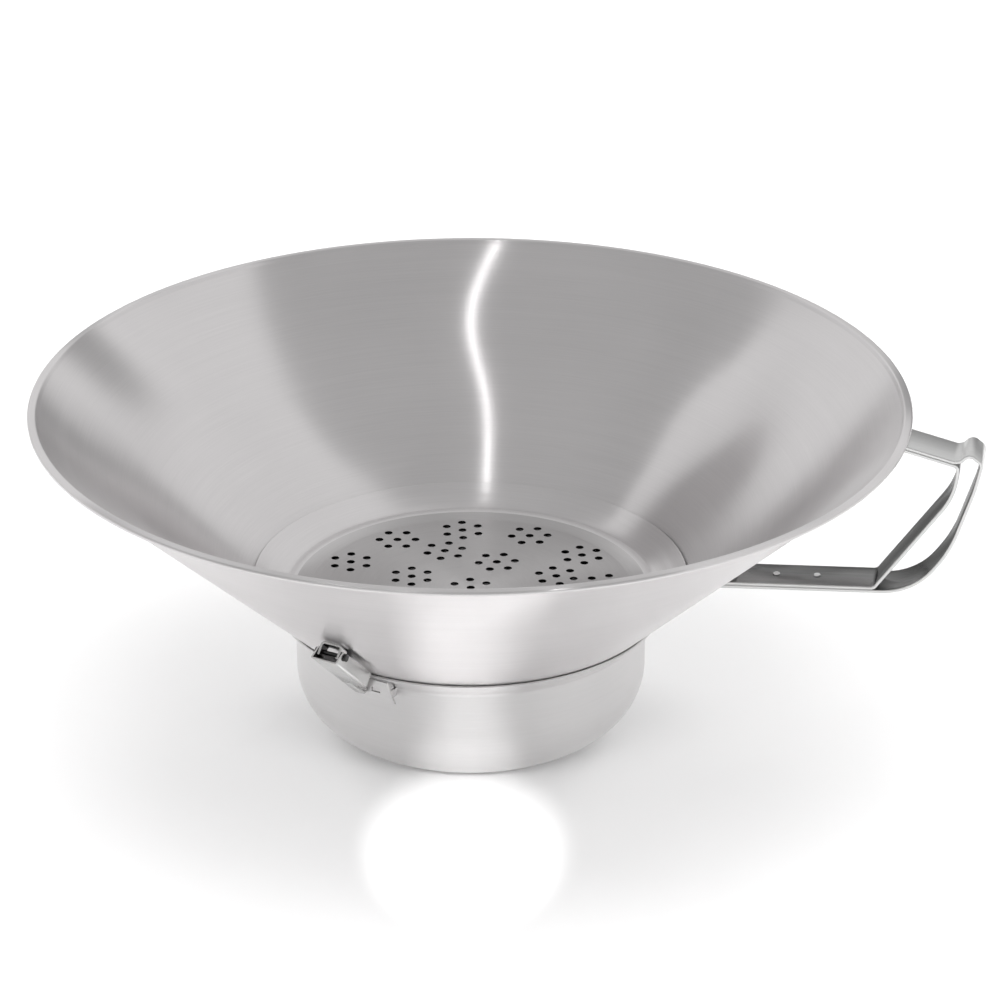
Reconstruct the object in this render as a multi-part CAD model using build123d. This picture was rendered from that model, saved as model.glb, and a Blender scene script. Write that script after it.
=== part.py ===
from build123d import *
import os
from math import atan2, cos, hypot, radians, sin, tan

# Double sieve strainer: a wide cone with two sieves and an outlet cup under it.
# Millimetres, +Z up. The origin is on the axis of the bowl, on the plane that
# the cup stands on, and the handle lies along +X.

# Sheet metal
SHEET = 1.0
STRAP = 1.5
CLIP_SHEET = 1.2
SLIDE_GAP = 0.35

# Bowl
RIM_RADIUS = 200.0
RIM_TOP = 160.4
HEM_WIDTH = 4.0
HEM_HEIGHT = 2.4
HEM_ROUND = 1.1
SEAM_RADIUS = 88.0
SEAM_HEIGHT = 60.0

# Seat and sieves
SEAT_INNER_RADIUS = 75.0
SEAT_HEIGHT = 63.8
SEAT_OUTER_RADIUS = 97.4
DISH_BEND = 24.0
UPPER_SIEVE_RADIUS = 99.0
LOWER_SIEVE_HEIGHT = 56.0
LOWER_SIEVE_RADIUS = 86.2
LOWER_DISH_BEND = 5.0
HOLE_RADIUS = 1.75
HOLE_SPACING = 8.5
CENTRE_ROSETTE_TURN = 42.0
# Rings of rosettes: radius, azimuth of the first, and how far each is turned about itself
ROSETTE_RINGS = [
    (62.5, 13.5, (28, 46, 13, 42, 10, 40, 12, 20, 50, 36, 8, 24)),
    (41.5, 27.0, (50, 27, 42, 20)),
    (30.0, 76.0, (17, 40, 12, 34)),
]
LOWER_SIEVE_TURN = 17.0

# Cup
CUP_OUTLET_RADIUS = 46.0
CUP_WALL_RADIUS = 80.7
CUP_FOOT_BEND = 29.5
CUP_SHOULDER_HEIGHT = 51.5
CUP_SHOULDER_BEND = 4.0
CUP_LIP_RADIUS = 88.0
CUP_LIP_HEIGHT = 58.7

# Handle, as points (distance from the axis, height) on each strap's middle layer
STRAP_WIDTH = 21.0
STRAP_FLANGE = 12.0
RIM_JOIN_HEIGHT = 156.4
VALLEY = (222.0, 149.5)
HUMP = (227.0, 154.2)
SHOULDER = (232.7, 149.8)
SIDE = (230.0, 137.0)
HEEL = (220.0, 106.0)
FOOT_DISTANCE = 204.0
OUTER_BENDS = [2.0, 5.0, 3.0, 3.2, 60.0, 60.0, 30.0, 2.0]
RUN_SLOPE = 2.5
RUN_WALL_HEIGHT = 80.4
INNER_TOP_DISTANCE = 222.0
INNER_KNEE = (221.8, 134.5)
INNER_FOOT_DISTANCE = 186.5
INNER_BENDS = [2.0, 34.0, 3.0, 1.6]
RIVET_DISTANCES = (141.5, 160.0)
RIVET_SHANK = 1.1
RIVET_HEAD = 1.7
RIVET_HEAD_HEIGHT = 0.7

# Catches: lengths up the slope of the bowl from its lower edge, and heights off it
CATCH_AZIMUTHS = {"front": -110.5, "rear": 69.5}
PIVOT = (40.0, 4.4)
PIN_RADIUS = 1.0
PIN_HOLE_RADIUS = 1.08
PIN_HEAD_RADIUS = 1.7
PIN_HEAD_LENGTH = 0.8
CLEVIS_LENGTH = 6.0
CLEVIS_WIDTH = 11.0
CLEVIS_HEIGHT = 6.5
LEVER_WIDTH = 13.4
LEVER_WALL = 0.85
LEVER_BEND = 1.0
LEVER_BOTTOM = 12.0
LEVER_TOP = (42.2, 45.2)
LEVER_INNER_HEIGHT = 2.6
LEVER_OUTER_HEIGHT = 9.4
TONGUE_WIDTH = 4.2
TONGUE_END = -3.5
TONGUE_BEND = 1.5
TIP_DISTANCE = 89.2

# Keepers, on the cup
KEEPER_FACE = 88.6
KEEPER_BOTTOM = 47.6
KEEPER_TOP = 57.2
KEEPER_LEFT = -8.0
KEEPER_RIGHT_TOP = 8.5
KEEPER_RIGHT_BOTTOM = 12.5
KEEPER_SLOT = (4.6, 2.2)
KEEPER_SLOT_HEIGHT = 52.6
KEEPER_SLOT_OFFSETS = (-4.4, 2.8)

# Worked out from the above
hem_middle = RIM_TOP - HEM_HEIGHT / 2
slope = atan2(hem_middle - SEAM_HEIGHT, RIM_RADIUS - HEM_WIDTH * 0.75 - SEAM_RADIUS)
up = (cos(slope), sin(slope))
out = (sin(slope), -cos(slope))


def cone_radius(height, offset=0.0):
    """Radius at a height on a cone that is offset outward from the bowl's outer face."""
    return SEAM_RADIUS + (height - SEAM_HEIGHT) / tan(slope) + offset / sin(slope)


def on_slope(length, height):
    """Point (radius, height) at a length up the bowl's side and a height off it."""
    return (SEAM_RADIUS + length * up[0] + height * out[0],
            SEAM_HEIGHT + length * up[1] + height * out[1])


def shifted(points, shift):
    """A polyline moved sideways to its left, with mitred corners."""
    count = len(points)
    normals = []
    for (x0, y0), (x1, y1) in zip(points, points[1:]):
        length = hypot(x1 - x0, y1 - y0)
        normals.append((-(y1 - y0) / length, (x1 - x0) / length))
    moved = []
    for i, (x, y) in enumerate(points):
        before = normals[max(i - 1, 0)]
        after = normals[min(i, count - 2)]
        scale = shift / (1 + before[0] * after[0] + before[1] * after[1])
        moved.append((x + scale * (before[0] + after[0]), y + scale * (before[1] + after[1])))
    return moved


def bent_line(points, bends, shift):
    """One face line of a bent sheet whose middle line has the given bend radii."""
    radii = []
    for before, here, after, bend in zip(points, points[1:], points[2:], bends):
        turn = ((here[0] - before[0]) * (after[1] - here[1])
                - (here[1] - before[1]) * (after[0] - here[0]))
        radii.append(bend - shift if turn > 0 else bend + shift)
    moved = shifted(points, shift)
    if len(moved) == 2:
        return Line(*moved)
    return FilletPolyline(*moved, radius=radii)


def sheet_face(points, bends, thickness):
    """Closed outline of a bent sheet of even thickness, in (radius, height)."""
    left = bent_line(points, bends, thickness / 2)
    right = bent_line(points, bends, -thickness / 2)
    return make_face([left, Line(left @ 1, right @ 1), right, Line(right @ 0, left @ 0)])


def turned(face):
    """Solid of revolution of an outline about the axis of the bowl."""
    return revolve(Plane.XZ * face, Axis.Z)


def strap(face, width):
    """Flat strip with the given side outline, centred across the handle."""
    return extrude(Plane.XZ * face, width / 2, both=True)


def outline(*points):
    """Face with straight sides through the points."""
    return make_face(Polyline(*points, close=True))


def bowl_shell():
    inner = -SHEET
    wall = outline(
        (SEAM_RADIUS, SEAM_HEIGHT),
        (cone_radius(hem_middle), hem_middle),
        (cone_radius(RIM_TOP - 0.5, inner), RIM_TOP - 0.5),
        (cone_radius(SEAM_HEIGHT, inner), SEAM_HEIGHT),
    )
    hem = Pos(RIM_RADIUS - HEM_WIDTH / 2, hem_middle) * RectangleRounded(
        HEM_WIDTH, HEM_HEIGHT, HEM_ROUND)
    return turned(wall + hem)


def dish_face(height, offset, inner_radius, rim_radius, bend):
    """Outline of a flat floor that turns up along the bowl's side, with its bend."""
    corner = (cone_radius(height, offset), height)
    rim = (rim_radius, SEAM_HEIGHT + (rim_radius - cone_radius(SEAM_HEIGHT, offset)) * tan(slope))
    return sheet_face([(inner_radius, height), corner, rim], [bend], SHEET)


def sieve_seat():
    against_bowl = -1.5 * SHEET
    return turned(dish_face(SEAT_HEIGHT, against_bowl, SEAT_INNER_RADIUS, SEAT_OUTER_RADIUS,
                            DISH_BEND + SHEET + SLIDE_GAP))


def rosette_places():
    """Centre and turn of each rosette of holes: one in the middle and three rings."""
    places = [((0.0, 0.0), CENTRE_ROSETTE_TURN)]
    for radius, start, turns in ROSETTE_RINGS:
        for k, turn in enumerate(turns):
            angle = radians(start + 360 / len(turns) * k)
            places.append(((radius * cos(angle), radius * sin(angle)), turn))
    return places


def hole_tool(height):
    """Pins that punch a whole sieve, each rosette being one hole with six round it."""
    depth = 4 * SHEET
    hole = Cylinder(HOLE_RADIUS, depth)
    pins = []
    for (x, y), turn in rosette_places():
        pins.append(Pos(x, y, height) * hole)
        for k in range(6):
            angle = radians(turn + 60 * k)
            place = Pos(x + HOLE_SPACING * cos(angle), y + HOLE_SPACING * sin(angle), height)
            pins.append(place * hole)
    return pins


def disc_face(dish, inner_radius, height):
    """A dish outline closed to the axis by a flat sheet."""
    return dish + Pos(inner_radius / 2, height) * Rectangle(inner_radius, SHEET)


def upper_sieve():
    height = SEAT_HEIGHT + SHEET + SLIDE_GAP
    offset = -(2.5 * SHEET + SLIDE_GAP)
    dish = dish_face(height, offset, SEAT_INNER_RADIUS, UPPER_SIEVE_RADIUS, DISH_BEND)
    return turned(disc_face(dish, SEAT_INNER_RADIUS, height)) - hole_tool(height)


def shoulder_radius(height, offset):
    """Radius of the cup's sloping shoulder, offset up and inward from its middle line."""
    rise = atan2(CUP_LIP_HEIGHT - CUP_SHOULDER_HEIGHT, CUP_LIP_RADIUS - CUP_WALL_RADIUS + SHEET / 2)
    wall = CUP_WALL_RADIUS - SHEET / 2
    return wall + (height - CUP_SHOULDER_HEIGHT) / tan(rise) - offset / sin(rise), rise


def lower_sieve():
    height = LOWER_SIEVE_HEIGHT
    corner_radius, rise = shoulder_radius(height, SHEET + SLIDE_GAP)
    rim = (LOWER_SIEVE_RADIUS, height + (LOWER_SIEVE_RADIUS - corner_radius) * tan(rise))
    dish = sheet_face([(SEAT_INNER_RADIUS, height), (corner_radius, height), rim],
                      [LOWER_DISH_BEND], SHEET)
    disc = turned(disc_face(dish, SEAT_INNER_RADIUS, height)) - hole_tool(height)
    return Rot(0, 0, LOWER_SIEVE_TURN) * disc


def cup_shell():
    wall = CUP_WALL_RADIUS - SHEET / 2
    points = [(CUP_OUTLET_RADIUS, SHEET / 2), (wall, SHEET / 2), (wall, CUP_SHOULDER_HEIGHT),
              (CUP_LIP_RADIUS, CUP_LIP_HEIGHT)]
    return turned(sheet_face(points, [CUP_FOOT_BEND, CUP_SHOULDER_BEND], SHEET))


def run_height(distance):
    """Height of the outer strap's bottom run, on its middle layer."""
    wall = cone_radius(RUN_WALL_HEIGHT, STRAP / 2)
    return RUN_WALL_HEIGHT + (distance - wall) * tan(radians(RUN_SLOPE))


def along(point, length):
    """Point reached from another by going a length up the bowl's slope."""
    return (point[0] + length * up[0], point[1] + length * up[1])


def rivet_plane(distance, lift):
    """Plane square to the bottom run, a height above the outer strap's middle layer."""
    lean = radians(RUN_SLOPE)
    origin = (distance - lift * sin(lean), 0, run_height(distance) + lift * cos(lean))
    return Plane(origin=origin, x_dir=(cos(lean), 0, sin(lean)), z_dir=(-sin(lean), 0, cos(lean)))


def rivet_shanks():
    length = 2 * STRAP
    return [rivet_plane(d, STRAP / 2) * Cylinder(RIVET_SHANK, length) for d in RIVET_DISTANCES]


def handle_rivets():
    rivets = []
    for distance, shank in zip(RIVET_DISTANCES, rivet_shanks()):
        head = Cylinder(RIVET_HEAD, RIVET_HEAD_HEIGHT)
        head = fillet(head.edges().group_by(Axis.Z)[-1], RIVET_HEAD_HEIGHT * 0.8)
        top = rivet_plane(distance, 1.5 * STRAP + RIVET_HEAD_HEIGHT / 2) * head
        foot = rivet_plane(distance, -STRAP / 2 - RIVET_HEAD_HEIGHT / 2) * Rot(180, 0, 0) * head
        rivets.append(shank + top + foot)
    return Compound(children=rivets)


def handle_outer_strap():
    rim = (cone_radius(RIM_JOIN_HEIGHT, STRAP / 2), RIM_JOIN_HEIGHT)
    wall = (cone_radius(RUN_WALL_HEIGHT, STRAP / 2), RUN_WALL_HEIGHT)
    foot = (FOOT_DISTANCE, run_height(FOOT_DISTANCE))
    points = [along(rim, -STRAP_FLANGE), rim, VALLEY, HUMP, SHOULDER, SIDE, HEEL, foot, wall,
              along(wall, -STRAP_FLANGE)]
    return strap(sheet_face(points, OUTER_BENDS, STRAP), STRAP_WIDTH) - rivet_shanks()


def handle_inner_strap():
    rim = (cone_radius(RIM_JOIN_HEIGHT, STRAP / 2), RIM_JOIN_HEIGHT)
    fall = (VALLEY[1] - rim[1]) / (VALLEY[0] - rim[0])
    under = hypot(1, fall) * STRAP

    def below_outer(distance):
        return (distance, rim[1] + (distance - rim[0]) * fall - under)

    lift = STRAP / cos(radians(RUN_SLOPE))
    foot = (INNER_FOOT_DISTANCE, run_height(INNER_FOOT_DISTANCE) + lift)
    wall_distance = (cone_radius(RUN_WALL_HEIGHT, STRAP / 2)
                     + lift / (tan(slope) - tan(radians(RUN_SLOPE))))
    wall = (wall_distance, run_height(wall_distance) + lift)
    points = [below_outer(rim[0] + 2 * STRAP), below_outer(INNER_TOP_DISTANCE), INNER_KNEE, foot,
              wall, along(wall, STRAP_FLANGE)]
    return strap(sheet_face(points, INNER_BENDS, STRAP), STRAP_WIDTH) - rivet_shanks()


def slope_plane():
    """Plane of a catch's side view: x runs up the bowl's slope and y stands off it."""
    return Plane(origin=(SEAM_RADIUS, 0, SEAM_HEIGHT), x_dir=(up[0], 0, up[1]), z_dir=(0, 1, 0))


def across(face, left, right):
    """Solid with the given side view between two distances across a catch."""
    return extrude(slope_plane() * Pos(0, 0, left) * face, right - left, dir=(0, 1, 0))


def block(x0, x1, y0, y1):
    """Rectangle between two lengths and two heights."""
    return Pos((x0 + x1) / 2, (y0 + y1) / 2) * Rectangle(x1 - x0, y1 - y0)


def pivot_bar(radius, left, right):
    return across(Pos(*PIVOT) * Circle(radius), left, right)


def catch_clevis(bowl):
    low = PIVOT[0] - CLEVIS_LENGTH / 2
    high = PIVOT[0] + CLEVIS_LENGTH / 2
    half = CLEVIS_WIDTH / 2
    ear = fillet(block(low, high, -SHEET / 5, CLEVIS_HEIGHT).vertices().group_by(Axis.Y)[-1], 1.8)
    body = across(ear, -half, half)
    hollow = across(block(low - 1, high + 1, CLIP_SHEET, CLEVIS_HEIGHT + 1),
                    -half + CLIP_SHEET, half - CLIP_SHEET)
    return body - hollow - pivot_bar(PIN_RADIUS, -half - 1, half + 1) - bowl


def catch_pin():
    shaft_end = LEVER_WIDTH / 2 + SLIDE_GAP
    head_end = shaft_end + PIN_HEAD_LENGTH
    return (pivot_bar(PIN_RADIUS, -shaft_end, shaft_end)
            + pivot_bar(PIN_HEAD_RADIUS, -head_end, -shaft_end)
            + pivot_bar(PIN_HEAD_RADIUS, shaft_end, head_end))


def catch_lever():
    half = LEVER_WIDTH / 2
    side = outline((LEVER_BOTTOM, LEVER_INNER_HEIGHT), (LEVER_TOP[0], LEVER_INNER_HEIGHT),
                   (LEVER_TOP[1], LEVER_OUTER_HEIGHT), (LEVER_BOTTOM, LEVER_OUTER_HEIGHT))
    channel = across(side, -half, half)
    web_length = LEVER_TOP[1] - LEVER_BOTTOM
    web_edges = [e for e in channel.edges() if e.length > web_length - 0.01]
    channel = fillet(web_edges, LEVER_BEND)
    web_inner = LEVER_OUTER_HEIGHT - CLIP_SHEET
    channel -= across(block(LEVER_BOTTOM - 1, LEVER_TOP[1] + 1, 0, web_inner),
                      -half + LEVER_WALL, half - LEVER_WALL)
    middle = LEVER_OUTER_HEIGHT - CLIP_SHEET / 2
    turn = on_slope(TONGUE_END, middle)
    reach = (TIP_DISTANCE - SEAM_RADIUS, turn[1] - SEAM_HEIGHT)
    tip = (reach[0] * up[0] + reach[1] * up[1], reach[0] * out[0] + reach[1] * out[1])
    strip = sheet_face([(LEVER_BOTTOM + 1, middle), (TONGUE_END, middle), tip], [TONGUE_BEND], CLIP_SHEET)
    tongue = across(strip, -half + LEVER_WALL, -half + LEVER_WALL + TONGUE_WIDTH)
    return channel + tongue - pivot_bar(PIN_HOLE_RADIUS, -half - 1, half + 1)


def catch_keeper(cup):
    face = Plane(origin=(KEEPER_FACE - CLIP_SHEET, 0, 0), x_dir=(0, 1, 0), z_dir=(1, 0, 0))
    plate = outline((KEEPER_LEFT, KEEPER_BOTTOM), (KEEPER_RIGHT_BOTTOM, KEEPER_BOTTOM),
                    (KEEPER_RIGHT_TOP, KEEPER_TOP), (KEEPER_LEFT, KEEPER_TOP))
    for offset in KEEPER_SLOT_OFFSETS:
        plate -= Pos(offset, KEEPER_SLOT_HEIGHT) * Rectangle(*KEEPER_SLOT)
    keeper = extrude(face * plate, CLIP_SHEET)
    for left in (KEEPER_LEFT, KEEPER_RIGHT_TOP - CLIP_SHEET):
        foot_side = block(left, left + CLIP_SHEET, KEEPER_BOTTOM, CUP_SHOULDER_HEIGHT)
        keeper += extrude(face * foot_side, CUP_WALL_RADIUS - 2 - KEEPER_FACE)
    return keeper - turned_core() - cup


def turned_core():
    """Everything inside the cup's wall, which trims a keeper's feet."""
    height = CUP_SHOULDER_HEIGHT + 1
    return Pos(0, 0, height / 2) * Cylinder(CUP_WALL_RADIUS - SHEET / 2, height)


def build():
    bowl = bowl_shell()
    cup = cup_shell()
    parts = {
        "bowl_shell": bowl,
        "sieve_seat": sieve_seat(),
        "upper_sieve": upper_sieve(),
        "lower_sieve": lower_sieve(),
        "cup_shell": cup,
        "handle_outer_strap": handle_outer_strap(),
        "handle_inner_strap": handle_inner_strap(),
        "handle_rivets": handle_rivets(),
    }
    makers = {
        "catch_clevis": catch_clevis(bowl),
        "catch_pin": catch_pin(),
        "catch_lever": catch_lever(),
        "catch_keeper": catch_keeper(cup),
    }
    for side, azimuth in CATCH_AZIMUTHS.items():
        for name, shape in makers.items():
            parts[f"{name}_{side}"] = Rot(0, 0, azimuth) * shape
    return parts


os.makedirs("parts", exist_ok=True)
for node, shape in build().items():
    export_step(shape, f"parts/{node}.step")
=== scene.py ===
"""Looks of a double sieve strainer: spun steel bowl, two punched sieves, cup, handle and catches."""
from __future__ import annotations

import logging
import math
from dataclasses import dataclass, field
from enum import Enum
from typing import Any, Iterable, Sequence, Union

import bmesh
import bpy
from mathutils import Matrix, Vector
from mathutils.geometry import delaunay_2d_cdt


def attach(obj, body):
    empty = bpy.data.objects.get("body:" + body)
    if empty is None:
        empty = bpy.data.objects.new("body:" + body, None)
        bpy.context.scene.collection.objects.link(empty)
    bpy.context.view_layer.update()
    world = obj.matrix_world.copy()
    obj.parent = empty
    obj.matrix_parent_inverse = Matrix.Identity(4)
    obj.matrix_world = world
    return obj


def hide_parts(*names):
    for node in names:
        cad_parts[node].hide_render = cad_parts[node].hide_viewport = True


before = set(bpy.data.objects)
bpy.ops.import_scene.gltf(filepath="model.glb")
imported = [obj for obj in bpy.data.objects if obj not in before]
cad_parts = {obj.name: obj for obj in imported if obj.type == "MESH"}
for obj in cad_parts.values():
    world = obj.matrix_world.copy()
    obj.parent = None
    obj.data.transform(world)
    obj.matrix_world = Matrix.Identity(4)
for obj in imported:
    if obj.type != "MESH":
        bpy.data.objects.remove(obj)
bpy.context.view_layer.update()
MM = 0.001
LOG = logging.getLogger("strainer")

Point = tuple[float, float]
Number = Union[int, float]


class Body(Enum):
    """The bodies that the pieces ride on."""

    BOWL = "bowl"
    UPPER_SIEVE = "upper_sieve"
    LOWER_SIEVE = "lower_sieve"
    CUP = "cup"
    CATCH_FRONT = "catch_front"
    CATCH_REAR = "catch_rear"


class Slot(Enum):
    """The material slots of the part."""

    BOWL = "bowl_steel"
    CUP = "cup_steel"
    SIEVE = "sieve_steel"
    STRAP = "strap_steel"
    CATCH = "catch_steel"
    FIXING = "fixing_steel"


# ---------------------------------------------------------------- shader maths


class Graph:
    """The node tree of one material or world."""

    def __init__(self, tree: bpy.types.NodeTree) -> None:
        """Start from an empty tree."""
        self.tree = tree
        tree.nodes.clear()

    def node(self, kind: str, settings: dict[str, Any] | None = None, **inputs: Any) -> bpy.types.Node:
        """Add a node.

        Args:
            kind: The node's type, without the "ShaderNode" in front.
            settings: Properties of the node, or its (place, value) stops, set before its sockets.
            inputs: Values or wires by socket name, with "_" for a space.

        Returns:
            The node.
        """
        made = self.tree.nodes.new("ShaderNode" + kind)
        for name, value in (settings or {}).items():
            if name == "stops":
                self._set_stops(made.color_ramp, value)
            else:
                setattr(made, name, value)
        for name, value in inputs.items():
            self.feed(made.inputs[name.replace("_", " ")], value)
        return made

    @staticmethod
    def _set_stops(band: bpy.types.ColorRamp, stops: Sequence[tuple[float, float]]) -> None:
        """Set a ramp's grey stops.

        Args:
            band: The ramp.
            stops: Place and value of each stop.
        """
        band.interpolation = "EASE"
        while len(band.elements) < len(stops):
            band.elements.new(0.5)
        for point, (place, value) in zip(band.elements, stops):
            point.position = place
            point.color = (value, value, value, 1.0)

    def feed(self, socket: bpy.types.NodeSocket, value: Any) -> None:
        """Link a wire to a socket, or set the socket's own value.

        Args:
            socket: The input socket.
            value: A wire, or the socket's own value.
        """
        if isinstance(value, Wire):
            self.tree.links.new(value.socket, socket)
        else:
            socket.default_value = value

    def math(self, operation: str, *values: "Wire | Number") -> "Wire":
        """Add a Math node.

        Args:
            operation: What the node works out.
            values: Its inputs, in order.

        Returns:
            The result.
        """
        made = self.node("Math", {"operation": operation})
        for socket, value in zip(made.inputs, values):
            self.feed(socket, value)
        return Wire(self, made.outputs[0])

    def vector(self, x: "Wire | Number", y: "Wire | Number", z: "Wire | Number") -> "Wire":
        """Join three numbers into a vector."""
        return Wire(self, self.node("CombineXYZ", X=x, Y=y, Z=z).outputs[0])

    def noise(self, at: "Wire", scale: float, detail: float) -> "Wire":
        """Add noise from 0 to 1.

        Args:
            at: Place where the noise is read.
            scale: How many lumps there are to one unit.
            detail: How many finer layers there are.

        Returns:
            The noise.
        """
        made = self.node("TexNoise", None, Vector=at, Scale=scale, Detail=detail, Roughness=0.55)
        return Wire(self, made.outputs[0])

    def blend(self, factor: "Wire", low: Sequence[float], high: Sequence[float]) -> "Wire":
        """Mix two colours.

        Args:
            factor: Share of the high colour, from 0 to 1.
            low: Colour at 0.
            high: Colour at 1.

        Returns:
            The mixed colour.
        """
        made = self.node("Mix", {"data_type": "RGBA"})
        self.feed(made.inputs[0], factor)
        self.feed(made.inputs[6], (*low, 1.0))
        self.feed(made.inputs[7], (*high, 1.0))
        return Wire(self, made.outputs[2])

    def ramp(self, factor: "Wire", stops: Sequence[tuple[float, float]]) -> "Wire":
        """Read a number off a list of stops.

        Args:
            factor: Place along the list, from 0 to 1.
            stops: Place and value of each stop.

        Returns:
            The number.
        """
        return Wire(self, self.node("ValToRGB", {"stops": stops}, Fac=factor).outputs[0])


@dataclass(frozen=True)
class Wire:
    """A socket that Python's arithmetic works on."""

    graph: Graph
    socket: bpy.types.NodeSocket

    def __add__(self, other: "Wire | Number") -> "Wire":
        """Sum."""
        return self.graph.math("ADD", self, other)

    __radd__ = __add__

    def __mul__(self, other: "Wire | Number") -> "Wire":
        """Product."""
        return self.graph.math("MULTIPLY", self, other)

    __rmul__ = __mul__

    def __sub__(self, other: "Wire | Number") -> "Wire":
        """Difference."""
        return self.graph.math("SUBTRACT", self, other)

    def __rsub__(self, other: "Wire | Number") -> "Wire":
        """Difference from a number."""
        return self.graph.math("SUBTRACT", other, self)

    def __truediv__(self, other: "Wire | Number") -> "Wire":
        """Quotient."""
        return self.graph.math("DIVIDE", self, other)

    def __rtruediv__(self, other: "Wire | Number") -> "Wire":
        """Quotient of a number and this."""
        return self.graph.math("DIVIDE", other, self)

    def clipped(self) -> "Wire":
        """Held between 0 and 1."""
        return self.graph.math("MINIMUM", self.graph.math("MAXIMUM", self, 0.0), 1.0)


# ---------------------------------------------------------------- finishes


@dataclass(frozen=True)
class Steel:
    """Bare stainless sheet, with brush lines, cloudiness and slight waves.

    The lines run round the piece's own axis when it is turned, and along its length when not.
    """

    name: str
    dark: tuple[float, float, float] = (0.625, 0.61, 0.612)
    light: tuple[float, float, float] = (0.81, 0.79, 0.793)
    roughness: float = 0.36
    roughness_spread: float = 0.08
    cloud_spread: float = 0.06
    anisotropy: float = 0.95
    anisotropy_turn: float = 0.25
    line_pitch: float = 0.0006
    line_depth: float = 0.000008
    wave_size: float = 0.09
    wave_depth: float = 0.0003
    grazing: float = 1.0
    turned: bool = True
    cloud_scale: float = 18.0
    line_share: float = 0.65
    line_stretch: float = 30.0
    fine_turns: float = 4.0
    broad_turns: float = 1.5
    broad_pitch: float = 9.0
    fine_share: float = 0.6

    def material(self) -> bpy.types.Material:
        """Build the material."""
        made = bpy.data.materials.new(self.name)
        made.use_nodes = True
        graph = Graph(made.node_tree)
        place = Wire(graph, graph.node("TexCoord").outputs["Object"])
        lines = self._lines(graph, place)
        cloud = graph.noise(place, self.cloud_scale, 3.0)
        wave = graph.noise(place, 1.0 / self.wave_size, 0.0)
        tone = (lines * self.line_share + cloud * (1 - self.line_share)).clipped()
        rough = self.roughness + (lines - 0.5) * self.roughness_spread + (cloud - 0.5) * self.cloud_spread
        waved = graph.node("Bump", None, Height=wave, Strength=1.0, Distance=self.wave_depth)
        brushed = graph.node("Bump", None, Height=lines, Strength=1.0, Distance=self.line_depth,
                             Normal=Wire(graph, waved.outputs[0]))
        shader = graph.node("BsdfPrincipled", None, Base_Color=graph.blend(tone, self.dark, self.light),
                            Metallic=1.0, Roughness=rough, Anisotropic=self.anisotropy,
                            Anisotropic_Rotation=self.anisotropy_turn,
                            Specular_Tint=(self.grazing, self.grazing, self.grazing, 1.0),
                            Normal=Wire(graph, brushed.outputs[0]))
        graph.node("OutputMaterial", None, Surface=Wire(graph, shader.outputs[0]))
        return made

    def _lines(self, graph: Graph, place: Wire) -> Wire:
        """Draw fine brush lines.

        Args:
            graph: Node tree of the material.
            place: Place on the object.

        Returns:
            The lines, from 0 to 1.
        """
        split = graph.node("SeparateXYZ", None, Vector=place)
        x, y, z = (Wire(graph, socket) for socket in split.outputs)
        pitch = 1.0 / self.line_pitch
        if not self.turned:
            stretched = graph.vector(x * self.line_stretch, y * pitch, z * self.line_stretch)
            return graph.noise(stretched, 1.0, 2.0)
        radius = graph.math("SQRT", x * x + y * y) + 1e-5
        along = radius * 0.8 + z * 0.6
        fine = graph.noise(graph.vector(x / radius * self.fine_turns, y / radius * self.fine_turns,
                                        along * pitch), 1.0, 2.0)
        broad = graph.noise(graph.vector(x / radius * self.broad_turns, y / radius * self.broad_turns,
                                         along * pitch / self.broad_pitch), 1.0, 2.0)
        return fine * self.fine_share + broad * (1 - self.fine_share)


BOWL_STEEL = Steel("spun_bowl_steel", roughness=0.31, wave_size=0.10, wave_depth=-0.022)
CUP_STEEL = Steel("spun_cup_steel", dark=(0.655, 0.645, 0.645), light=(0.775, 0.765, 0.765),
                  wave_depth=0.0008)
SIEVE_STEEL = Steel("turned_sieve_steel", dark=(0.51, 0.50, 0.50), light=(0.68, 0.665, 0.665),
                    roughness=0.30, anisotropy=0.9, wave_size=0.05, wave_depth=0.0016)
# Painted highlight: the bead band is lighter steel than the sieve, so that it reads as a bright ring of
# reflected light.
BEAD_PAINTED_HIGHLIGHT = Steel("sieve_bead_painted_highlight", dark=(0.72, 0.705, 0.707), light=(0.85, 0.835, 0.837), roughness=0.45,
                   anisotropy=0.3, wave_depth=0.0002)
# Painted shade: near-black hole walls and rollovers stand in for the dark seen down the holes.
HOLE_PAINTED_SHADE = Steel("hole_wall_painted_shade", dark=(0.02, 0.02, 0.02), light=(0.05, 0.05, 0.05), roughness=0.5,
                  anisotropy=0.0, turned=False, wave_depth=0.00001)
STRAP_STEEL = Steel("rolled_strap_steel", dark=(0.60, 0.60, 0.595), light=(0.72, 0.72, 0.715),
                    roughness=0.30, anisotropy=0.0, turned=False, line_pitch=0.0012, wave_size=0.03,
                    wave_depth=0.0001)
# Painted shade: the straps' finger side is darker steel with little edge sheen, standing in for the shade on
# that side.
STRAP_PAINTED_SHADE = Steel("strap_inner_side_painted_shade", dark=(0.22, 0.22, 0.219), light=(0.40, 0.40, 0.398),
                     roughness=0.18, anisotropy=0.0, turned=False, line_pitch=0.0012, wave_size=0.02,
                     wave_depth=0.0012, grazing=0.2)
CATCH_STEEL = Steel("pressed_catch_steel", dark=(0.58, 0.58, 0.575), light=(0.68, 0.68, 0.675),
                    roughness=0.24, anisotropy=0.0, turned=False, line_pitch=0.0008, wave_size=0.01,
                    wave_depth=0.00005)
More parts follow.
